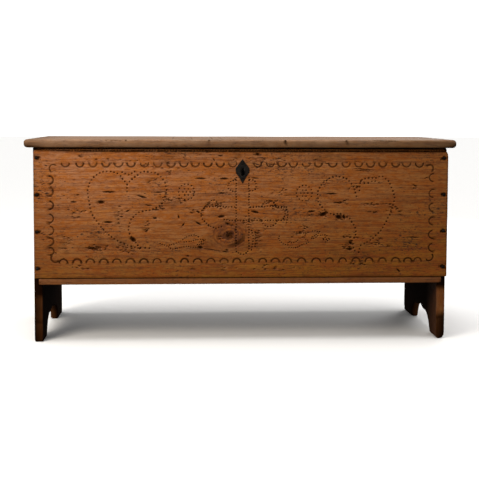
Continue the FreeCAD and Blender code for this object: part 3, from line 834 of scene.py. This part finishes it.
def placed(name, data):
    """An object in the scene for a mesh, a light or a camera."""
    one = bpy.data.objects.new(name, data)
    bpy.context.scene.collection.objects.link(one)
    return one


def shaded(name, mesh, turn=sharp_turn):
    """An object whose surface is smooth but for its sharp edges."""
    mesh.shade_smooth()
    mesh.set_sharp_from_angle(angle=math.radians(turn))
    return placed(name, mesh)


def made(name, vertices, faces, layers=None, turn=sharp_turn):
    """A mesh object from its corners and faces, its normals outward and its sharp edges kept."""
    mesh = bpy.data.meshes.new(name)
    mesh.from_pydata([tuple(v) for v in vertices], [], faces)
    for layer, values in (layers or {}).items():
        mesh.attributes.new(layer, "FLOAT", "POINT").data.foreach_set("value", np.array(values, np.float32))
    shell = bmesh.new()
    shell.from_mesh(mesh)
    bmesh.ops.recalc_face_normals(shell, faces=shell.faces)
    shell.to_mesh(mesh)
    shell.free()
    return shaded(name, mesh, turn)


def body_of(cad_node):
    """The body that a CAD node moves with."""
    return next(body for body, members in bodies.items() if cad_node in members)


def dressed(piece, material, slot, *cad_nodes):
    """Give a piece its finish, and let it stand for its CAD nodes on their body."""
    piece.data.materials.clear()
    piece.data.materials.append(material)
    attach(piece, body_of(cad_nodes[0]))
    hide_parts(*cad_nodes)


def box_mm(cad_node):
    """The lowest and the highest corner of a CAD node, in millimetres."""
    low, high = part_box(cad_node)
    return [value / mm for value in low], [value / mm for value in high]


def cad_shell(cad_node):
    """The mesh of a CAD node with its doubled corners joined."""
    shell = bmesh.new()
    shell.from_mesh(frame["nodes"][cad_node].data)
    bmesh.ops.remove_doubles(shell, verts=shell.verts, dist=weld_gap)
    return shell


def solids_of(cad_node):
    """The corners of each separate solid of a CAD node, in millimetres."""
    shell = cad_shell(cad_node)
    left, solids = set(shell.verts), []
    while left:
        group, edge_of = set(), [left.pop()]
        while edge_of:
            here = edge_of.pop()
            group.add(here)
            for link in here.link_edges:
                other = link.other_vert(here)
                if other in left:
                    left.discard(other)
                    edge_of.append(other)
        solids.append(np.array([tuple(v.co) for v in group]) / mm)
    shell.free()
    return sorted(solids, key=lambda points: tuple(np.round(points.mean(0), 2)))


def nail_spots(cad_node, axes):
    """Where each nail of a node enters the wood."""
    return [tuple((points.min(0) + points.max(0))[list(axes)] / 2) for points in solids_of(cad_node)]


def keyhole_outline(z):
    """The keyhole's border, clockwise, about its middle height."""
    radius, half = keyhole_round / 2, keyhole_slot / 2
    round_z = z + keyhole_height / 2 - radius
    bottom = z - keyhole_height / 2
    gape = math.acos(half / radius)
    turns = np.linspace(math.pi + gape, -gape, 15)
    ring = [(radius * math.cos(turn), round_z + radius * math.sin(turn)) for turn in turns]
    return ring + [(half, bottom), (-half, bottom)]


def carved_front():
    """The nailed front board, with its gouged border, pricked figures, knot, splits and keyhole."""
    low, high = box_mm("front_board")
    plate_low, plate_high = box_mm("escutcheon")
    key_z = (plate_low[2] + plate_high[2]) / 2
    left = low[0] + front_left_wear
    top = high[2] + front_lip
    corners = [(left, low[2]), (high[0], low[2]), (high[0], top), (left, top)]
    outline = rounded_corners(corners, front_corners)
    marks = border_marks()
    for figure in ((left_heart, left_heart_strokes, heart_spacing),
                   (right_heart, right_heart_strokes, heart_spacing),
                   (cross, cross_strokes, cross_spacing, cross_size),
                   (left_spray, left_spray_strokes, spray_spacing, spray_size),
                   (right_spray, right_spray_strokes, spray_spacing, spray_size)):
        marks += pricked(*figure)
    for u, v, radius in rosettes:
        marks += rosette(u, v, radius)
    marks += [split(*ends) for ends in front_splits]
    for crowd in front_scuffs:
        marks += scuffs(*crowd)
    marks += [smudge(*place) for place in front_smudges]
    for u, v in nail_spots("front_nails", (0, 2)):
        marks.append(stain(u, v, math.copysign(1, u)))
    marks.append(cut(smooth_line(knot_arc, 6), 8.5, 0.5, taper=0.35, dirt_and_shade=0.72))
    marks.append(cut(smooth_line(knot_ring, 8), 3.2, 0.3, taper=0.3, dirt_and_shade=0.25))
    for crowd in knot_blots:
        marks += scuffs(*crowd)

    # Rows of points along the top, so that the painted shadow and dirt under the lid end softly
    marks.append({"spine": [], "mesh": [(u, top - down) for down in lid_gap_down[2:]
                                        for u in np.arange(left + 6, high[0] - 6, 8)]})

    def worn(u, v):
        upper = 0.6 + 1.2 * wobble(u, v, (90, 30), 9) if v > top - 6 else 0
        return front_arris + upper + 0.9 * abs(wobble(u, v, (50, 50), 3))

    def finish(u, v, back):
        if back and v > low[2] + 3:
            return 0.08, 1.0
        side = min(u - left, high[0] - u)
        down = top - v + max(0.0, 4 - (u - left) / 40)
        # Painted shadow under the lid's overhang, with some dirt
        under_lid = float(np.interp(down, lid_gap_down, lid_gap_shadow_and_dirt))
        return max(under_lid, 0.9 - (v - low[2]) / 3, 0.5 - side / 14, 0.14 - (u - left) / 900), 0.0

    return board("carved_front", outline, high[1] - low[1], lambda u, v, w: (u, low[1] + w, v), worn,
                 lambda u, v: 1.0, finish, holes=[keyhole_outline(key_z)], marks=marks, step=(12, 7),
                 swell=0.45, seed=11)


def scattered(low, high, count):
    """Random places on a face, each with the length of a mark."""
    return [(chance.uniform(low[0] + 15, high[0] - 45), chance.uniform(low[1] + 15, high[1] - 45),
             chance.uniform(4, 30)) for _ in range(count)]


def worn_lid():
    """The lid plank: round nose at its front and ends, hollows in the top, old scores across the grain."""
    low, high = box_mm("lid_board")
    corners = [(low[0], low[1]), (high[0], low[1]), (high[0], high[1]), (low[0], high[1])]
    outline = rounded_corners(corners, lid_corners)

    def from_end(u):
        return min(u - low[0], high[0] - u)

    def nose(u, v):
        if v > high[1] - 4 and from_end(u) > 12:
            return lid_back_radius
        return nose_radius + 3.4 * max(0.0, 1 - from_end(u) / 50) + 1.6 * wobble(u, v, (70, 70), 5)

    marks = []
    for x in lid_scores:
        slant = chance.uniform(-8, 8)
        line = [(x + slant * t, low[1] + score_start + score_length * t + chance.uniform(-1, 1))
                for t in np.arange(score_points) / (score_points - 1)]
        line = [(u + wobble(v, u, (60, 60), x), v) for u, v in line]
        marks.append(cut(line, 1.3, 0.8, taper=0.5, dirt_and_shade=0.7))
    marks += [prick(x, low[1] + nose_hole_in, nose_hole_depth) for x in nose_holes]
    for u, v, length in scattered(low, high, lid_splits):
        marks.append(split(u, v, u + length, v + chance.uniform(-1, 1), chance.uniform(0.9, 1.8)))
    for _ in range(nose_lines):
        u, v = chance.uniform(low[0] + 15, high[0] - 100), low[1] + chance.uniform(1.2, 6.5)
        marks.append(split(u, v, u + chance.uniform(15, 80), v + chance.uniform(-0.8, 0.8),
                           chance.uniform(0.5, 0.9), chance.uniform(0.5, 0.9)))

    def finish(u, v, under):
        # The top is darker toward its ends, most at the right. The underside is painted darker where it
        # overhangs the case, as shade
        edge = min(from_end(u), v - low[1])
        dull = max(0.0, 0.4 - from_end(u) / 240, 0.28 - (high[0] - u) / 500)
        if under:
            return max(0.2, min(edge / 5, 0.75 - edge / 60), 0.7 - from_end(u) / 120), min(0.5, edge / 80)
        return dull, min(1.0, edge / 2)

    def under_arris(u, v):
        return 1.5 if v > high[1] - 4 else 4.4 + 6.5 * max(0.0, 1 - from_end(u) / 60)

    return board("worn_lid", outline, high[2] - low[2], lambda u, v, w: (u, v, high[2] - w), nose,
                 under_arris, finish, marks=marks, step=(15, 9), swell=0.9, swell_size=(300, 60), seed=23)


def arch_side(middle, half_depth, sign):
    """Half of the opening between the feet, from the foot up to the point."""
    foot = (middle + sign * (half_depth - foot_length), 0)
    haunch = (foot[0] - sign * haunch_reach, haunch_height)
    apex = (middle, apex_height)
    bend = (haunch[0] + sign * haunch_reach * arch_bend_share, haunch_height * arch_bend_share)
    ogee = (haunch[0] + (apex[0] - haunch[0]) * ogee_bend_share,
            haunch_height + (apex_height - haunch_height) * ogee_rise_share)
    return [foot] + arc_through(foot, bend, haunch, 12) + arc_through(haunch, ogee, apex, 8)


def end_plank(name, cad_node, side, toe_wear, top_corner, front_edge):
    """An end board down to its two feet, its front edge darker and bare by height, with dirt, and at its top
    painted shadow under the bottom board.

    It is stepped for the back board, and the floor has worn its toes.
    """
    heights, edge_dirt_and_shadow, bares = zip(*front_edge)
    low, high = box_mm(cad_node)
    inside_z, step_y = box_mm("bottom_board")[1][2], box_mm("back_board")[0][1]
    middle, half_depth = (low[1] + step_y) / 2, (step_y - low[1]) / 2
    arch = arch_side(middle, half_depth, -1) + arch_side(middle, half_depth, 1)[:-1][::-1]
    corners = [(low[1], 0)] + arch + [(high[1], 0), (high[1], inside_z), (step_y, inside_z),
                                      (step_y, high[2]), (low[1], high[2])]
    outline = rounded_corners(corners, [4] + [0] * len(arch) + [4, 0, 0, 0, top_corner])
    outer = high[0] if side > 0 else low[0]

    def outside(u, v):
        worn = max(0.0, 1 - v / 26) * toe_wear if u < low[1] + 34 else max(0.0, 1 - v / 14) * 4
        return 1.2 + worn + 0.6 * abs(wobble(u, v, (40, 40), 4 + side))

    def inside(u, v):
        return 1.6 + max(0.0, 1 - v / 14) * toe_wear * 0.4

    def finish(u, v, inner):
        near = max(0.0, 1 - (u - low[1]) / (6 if inner else 20))
        if inner and v > inside_z:
            return 0.1, 1.0
        # Outside, darker toward the floor. Inside, under the bottom board, the faces are painted near black
        # as shade, the right end's a little less near the front, where the window reaches
        face_dirt_and_shade = 0.45 * max(0.0, 1 - v / 70)
        if inner:
            face_dirt_and_shade = 1.0 - 0.4 * max(0.0, 1 - (u - low[1]) / 130) * (side > 0)
        # The front edge by height: dirt, and at the top painted shadow under the bottom board
        dirt_and_shade, bare = [float(np.interp(v, heights, values)) for values in (edge_dirt_and_shadow, bares)]
        dirt_and_shade = min(1.0, dirt_and_shade + (0.0 if inner else 0.25))
        return dirt_and_shade * near + face_dirt_and_shade * (1 - near), bare * near

    marks = [stain(u, v, chance.choice((-1, 1))) for u, v in nail_spots("bottom_nails", (1, 2))[side > 0::2]]
    for u, v, length in scattered(low[1:], high[1:], end_splits):
        marks.append(split(u, v, u + chance.uniform(-1, 1), v + length, chance.uniform(0.9, 1.8)))
    return board(name, outline, high[0] - low[0], lambda u, v, w: (outer - side * w, u, v),
                 outside, inside, finish, marks=marks, step=(11, 16), swell=0.5, swell_size=(50, 260),
                 seed=37 + side, spacing=8)


def plain_plank(name, cad_node, axes, arris, finish, notches=(), step=(16, 10), seed=3):
    """A rectangular board, its face on the low side of the third axis."""
    low, high = box_mm(cad_node)
    u, v, w = axes
    corners = [(low[u], low[v]), (high[u], low[v]), (high[u], high[v])]
    for middle in sorted(notches, reverse=True):
        corners += [(middle + notch_half, high[v]), (middle + notch_half, high[v] - notch_depth),
                    (middle - notch_half, high[v] - notch_depth), (middle - notch_half, high[v])]
    corners.append((low[u], high[v]))

    def place(along, across, deep):
        point = [0, 0, 0]
        point[u], point[v], point[w] = along, across, low[w] + deep
        return tuple(point)

    def radius(a, b):
        return arris + 0.5 * abs(wobble(a, b, (60, 60), seed))

    return board(name, corners, high[w] - low[w], place, radius, radius, finish, step=step, seed=seed)


def forged_nails(name, cad_node):
    """Hand-made nails: a square tapering shank under a small head beaten to uneven facets."""
    vertices, faces, sides = [], [], 8
    for points in solids_of(cad_node):
        # Which way the nail points, and the widths of its rim and its shank
        low, high = points.min(0), points.max(0)
        axis = int((high - low).argmax())
        across = [i for i in range(3) if i != axis]
        middle = (low + high) / 2
        reach = np.abs(points[:, across] - middle[across]).max(1)
        rim = points[reach.argmax(), axis]
        way = 1 if rim > middle[axis] else -1
        top = high[axis] if way > 0 else low[axis]
        tip = low[axis] if way > 0 else high[axis]
        half, rise = reach.max(), abs(top - rim)
        at_rim = np.abs(points[:, axis] - rim) < 0.05
        shank = np.sort(reach[at_rim])[0] if at_rim.any() else half / 2
        shank = min(shank, half * 0.5)

        # Rings of the head from its top down, two of the shank, and the faces between them
        base = len(vertices)
        turn, squash = chance.uniform(0, math.tau), chance.uniform(0.62, 0.85)
        for share, level in nail_head_rings:
            for step in range(sides):
                angle = turn + math.tau * step / sides
                radius = half * share * (1.0 if level == 0 else chance.uniform(0.86, 1.0))
                point = middle.copy()
                point[across[0]] += radius * math.cos(angle)
                point[across[1]] += radius * squash * math.sin(angle)
                point[axis] = rim + way * rise * level * (chance.uniform(0.8, 1.0) if level else 1.0)
                vertices.append(point)
        for size, place in ((shank, rim - way * 0.01), (shank * 0.4, tip)):
            for step in range(sides):
                angle = turn + math.tau * step / sides
                point = middle.copy()
                square = size / max(abs(math.cos(angle - turn)), abs(math.sin(angle - turn)))
                point[across[0]] += square * math.cos(angle)
                point[across[1]] += square * math.sin(angle)
                point[axis] = place
                vertices.append(point)
        last = base + (len(nail_head_rings) + 1) * sides
        for first in range(base, last, sides):
            for step in range(sides):
                a, b = first + step, first + (step + 1) % sides
                faces.append([a, b, b + sides, a + sides])
        faces.append([base + step for step in range(sides)][::-1])
        faces.append([last + step for step in range(sides)])
    return made(name, [Vector(p) * mm for p in vertices], faces, turn=nail_sharp_turn)


def keyhole_plate():
    """The iron lozenge round the keyhole, with blunt shoulders, hammered thin at its edge."""
    low, high = box_mm("escutcheon")
    half_wide, half_high = (high[0] - low[0]) / 2, (high[2] - low[2]) / 2
    key_z = (low[2] + high[2]) / 2
    right = smooth_line(plate_shoulder_shares, 4)
    shares = right[:-1] + [(-a, b) for a, b in right[:0:-1]]
    outline = [(half_wide * a * (1 - 0.02 * abs(wobble(a * 90, b * 90, (20, 20), 8))), key_z + half_high * b)
               for a, b in shares]
    return board("keyhole_plate", outline, high[1] - low[1], lambda u, v, w: (u, low[1] + w, v),
                 lambda u, v: 0.7, lambda u, v: 0.2, lambda u, v, back: (0.0, 0.0),
                 holes=[keyhole_outline(key_z)], step=(3.2, 3.2), swell=0.35, swell_size=(9, 9), seed=51,
                 spacing=3)


def eased_iron(name, cad_node):
    """A forged piece: the CAD solid with its arrises eased, as a file and years of use leave them."""
    shell = cad_shell(cad_node)
    bmesh.ops.dissolve_limit(shell, angle_limit=math.radians(1), verts=shell.verts, edges=shell.edges)
    arrises = [edge for edge in shell.edges
               if len(edge.link_faces) == 2 and edge.calc_face_angle() > math.radians(eased_turn)]
    bmesh.ops.bevel(shell, geom=arrises, offset=iron_arris * mm, segments=2, profile=0.5, affect="EDGES",
                    clamp_overlap=True)
    bmesh.ops.triangulate(shell, faces=[flat for flat in shell.faces if len(flat.verts) > 4])
    mesh = bpy.data.meshes.new(name)
    shell.to_mesh(mesh)
    shell.free()
    return shaded(name, mesh)


def studio():
    """A white floor under even light, a soft window on the left, a weaker one behind on the right."""
    mesh = bpy.data.meshes.new("floor")
    reach = 30
    corners = [(-reach, -reach, 0), (reach, -reach, 0), (reach, reach, 0), (-reach, reach, 0)]
    mesh.from_pydata(corners, [], [(0, 1, 2, 3)])
    floor = placed("floor", mesh)
    floor.visible_diffuse = False
    floor.visible_glossy = False
    paint = bpy.data.materials.new("matt_white_floor_paint")
    paint.use_nodes = True
    shader = paint.node_tree.nodes["Principled BSDF"]
    shader.inputs["Base Color"].default_value = linear("#F4F3F1")
    shader.inputs["Roughness"].default_value = 0.9
    mesh.materials.append(paint)

    # Name, kind, where it stands, where it points, its width in metres or the sun's in degrees, power, colour
    for name, kind, place, aim, size, power, warmth in (
            ("window", "AREA", (-1.9, -2.1, 1.9), (-0.2, -0.2, 0.4), 1.3, 58, "#FFF6EA"),
            ("far_window", "AREA", (2.0, 2.4, 1.5), (0, 0.2, 0.4), 1.4, 26, "#FFFFFF"),
            ("high_sun", "SUN", (-0.3, -0.5, 4.0), (0, 0, 0), 40, 1.9, "#FFFFFF")):
        light = bpy.data.lights.new(name, kind)
        if kind == "SUN":
            light.angle = math.radians(size)
        else:
            light.size = size
        light.energy = power
        light.color = linear(warmth)[:3]
        lamp = placed(name, light)
        lamp.location = place
        lamp.rotation_euler = (Vector(aim) - Vector(place)).to_track_quat("-Z", "Y").to_euler()

    # White to the camera. As light it is bright above and behind, and dim below, where the floor is left out.
    world = bpy.data.worlds.new("white_surround")
    world.use_nodes = True
    world.node_tree.nodes.clear()
    add = partial(node, world.node_tree)
    way = add("TexCoord", out="Generated")
    above = add("MapRange", add("SeparateXYZ", way, out=2), -0.1, 0.15, 0.10, 0.50)
    behind = add("MapRange", add("SeparateXYZ", way, out=1), 0.7, 1.0, 0.0, 0.2)
    seen = add("LightPath", out="Is Camera Ray")
    strength = add("Math", add("Math", above, behind, operation="ADD"), seen, operation="ADD")
    add("OutputWorld", add("Background", linear("#FFFFFF"), strength))
    bpy.context.scene.world = world


def camera():
    """The photograph's view: its optical axis lies above the middle of the picture."""
    forward = Vector((math.sin(camera_yaw), math.cos(camera_yaw), 0))
    right = Vector((math.cos(camera_yaw), -math.sin(camera_yaw), 0))
    up = Vector((0, 0, 1))
    look = forward * math.cos(camera_pitch) - up * math.sin(camera_pitch)
    above = up * math.cos(camera_pitch) + forward * math.sin(camera_pitch)
    side = right * math.cos(camera_roll) + above * math.sin(camera_roll)
    above = above * math.cos(camera_roll) - right * math.sin(camera_roll)
    data = bpy.data.cameras.new("view")
    data.sensor_width = sensor_width
    data.lens = lens_pixels / picture_side * sensor_width
    data.shift_y = (axis_pixel_y - picture_side / 2) / picture_side
    view = placed("view", data)
    turn = Matrix((side, above, -look)).transposed().to_4x4()
    view.matrix_world = Matrix.Translation(Vector(camera_place) * mm) @ turn
    bpy.context.scene.camera = view


# Front: pine planed by hand and waxed, a warm orange brown with a soft sheen and clear grain, painted darker
# toward the right and the floor as shade and smoke
carved_pine = pine("waxed_pine_hand_planed", "X",
                   ("#D89050", "#BD743A", "#955322", "#673212",
                    "#AB592A", "#B66410", "#BC7E54", "#1E0C02", "#92683E"),
                   gloss=0.42, shine=0.35, pith=(0, 150, 395), knot=(knot_x, 0, knot_z, knot_radius),
                   smoke_and_shade=(0.8, 0.95), flecked=0.85)

# Back and bottom: the same pine under smoke and old wax, a deeper brown with fainter grain, painted darker
# toward the right and the floor as shade and smoke
case_pine = pine("waxed_pine_smoke_darkened_and_shaded", "X",
                 ("#935A28", "#824A1E", "#683612", "#532A0E",
                  "#783C18", "#82440C", "#84542E", "#170A03", "#8E6238"),
                 gloss=0.48, shine=0.35, pith=(0, 0, 120), knot=(260, 0, 395, 20), smoke_and_shade=(0.5, 0.2))

# End boards: old wax with years of dirt in it, the darkest wood here and nearly matt
end_pine = pine("pine_end_boards_old_wax", "Z",
                ("#8A5226", "#7A451C", "#5E3210", "#4A260C",
                 "#6C3414", "#7A400C", "#7C4E2A", "#0C0401", "#B88040"),
                gloss=0.50, shine=0.25, pith=(0, 60, 300))

# Lid: its wax is worn off and the sun has bleached it, dry, pale and greyed, painted darker toward the right
# as shade and smoke
lid_pine = pine("dry_pine_sun_bleached", "X",
                ("#9E7550", "#8B5F3A", "#6F4728", "#58351D",
                 "#794A2C", "#8B5A2A", "#8C684A", "#1C0D05", "#817759"),
                gloss=0.48, shine=0.5, pith=(0, 40, 480), smoke_and_shade=(0.5, 0.0))

# Till: pine that was planed and never waxed, pale and matt
inner_pine = pine("unfinished_pine_inside", "X",
                  ("#A88254", "#9A7346", "#7C5930", "#6C4A28",
                   "#80552E", "#9A6C30", "#967A5A", "#2A190C", "#9A7346"),
                  gloss=0.62, shine=0.4, pith=(0, 30, 200))

# Lock and hinges: wrought iron under the black scale of the forge, near black, dull and dented
black_iron = forged_iron("wrought_iron_black_scale", "#1A1715", "#35302B", "#4A2F20", 0.06, gloss=0.42)

# Nails: the same iron with its scale rusted through, brown black and matt
nail_iron = forged_iron("wrought_iron_nails_rusted", "#120E0C", "#2A221D", "#2E1A10", 0.16, gloss=0.62)


def bare_inside(u, v, outer):
    """The back board is waxed outside and bare inside."""
    return (0.05, 0.0) if outer else (0.1, 1.0)


lip_y = box_mm("bottom_board")[0][1]


def dirty_below(u, v, upper):
    """The bottom board is bare above and dirty below. Dust lies on its front lip, whose edge is rubbed."""
    if v > lip_y + 12:
        return (0.1, 1.0) if upper else (0.8, 0.0)
    return (0.85 if upper else 0.3, 0.0) if v > lip_y + 0.1 else (0.02, 0.4)


def all_bare(u, v, back):
    """The till's boards are clean, and their finish is bare already."""
    return 0.0, 0.0


dressed(carved_front(), carved_pine, "carved_pine", "front_board")
dressed(worn_lid(), lid_pine, "lid_pine", "lid_board")
dressed(end_plank("left_end_plank", "left_end_board", -1, 4, 6, left_end_edge),
        end_pine, "case_pine", "left_end_board")
dressed(end_plank("right_end_plank", "right_end_board", 1, 16, 16, right_end_edge),
        end_pine, "case_pine", "right_end_board")
dressed(plain_plank("back_plank", "back_board", (0, 2, 1), 1.6, bare_inside, seed=61,
                    notches=(-strap_from_middle, strap_from_middle)), case_pine, "case_pine", "back_board")
dressed(plain_plank("bottom_plank", "bottom_board", (0, 1, 2), 2.2, dirty_below, seed=71),
        case_pine, "case_pine", "bottom_board")
dressed(plain_plank("till_side_plank", "till_side", (1, 2, 0), 1.2, all_bare, seed=81),
        inner_pine, "inner_pine", "till_side")
dressed(plain_plank("till_floor_plank", "till_bottom", (0, 1, 2), 0.8, all_bare, seed=91),
        inner_pine, "inner_pine", "till_bottom")
dressed(keyhole_plate(), black_iron, "forged_iron", "escutcheon")
for cad_node in sorted(frame["nodes"]):
    if cad_node.endswith("_nails"):
        dressed(forged_nails("forged_" + cad_node, cad_node), nail_iron, "nail_iron", cad_node)
for cad_node in ("lock_plate", "key_box", "left_bolt_keeper", "right_bolt_keeper", "lock_bolt", "bolt_spring",
                 "lid_staple", "left_lid_strap", "right_lid_strap", "left_hinge_tail", "right_hinge_tail",
                 "left_hinge_pin", "right_hinge_pin"):
    dressed(eased_iron("forged_" + cad_node, cad_node), black_iron, "forged_iron", cad_node)


studio()
camera()
bpy.context.scene.view_settings.view_transform = "Standard"
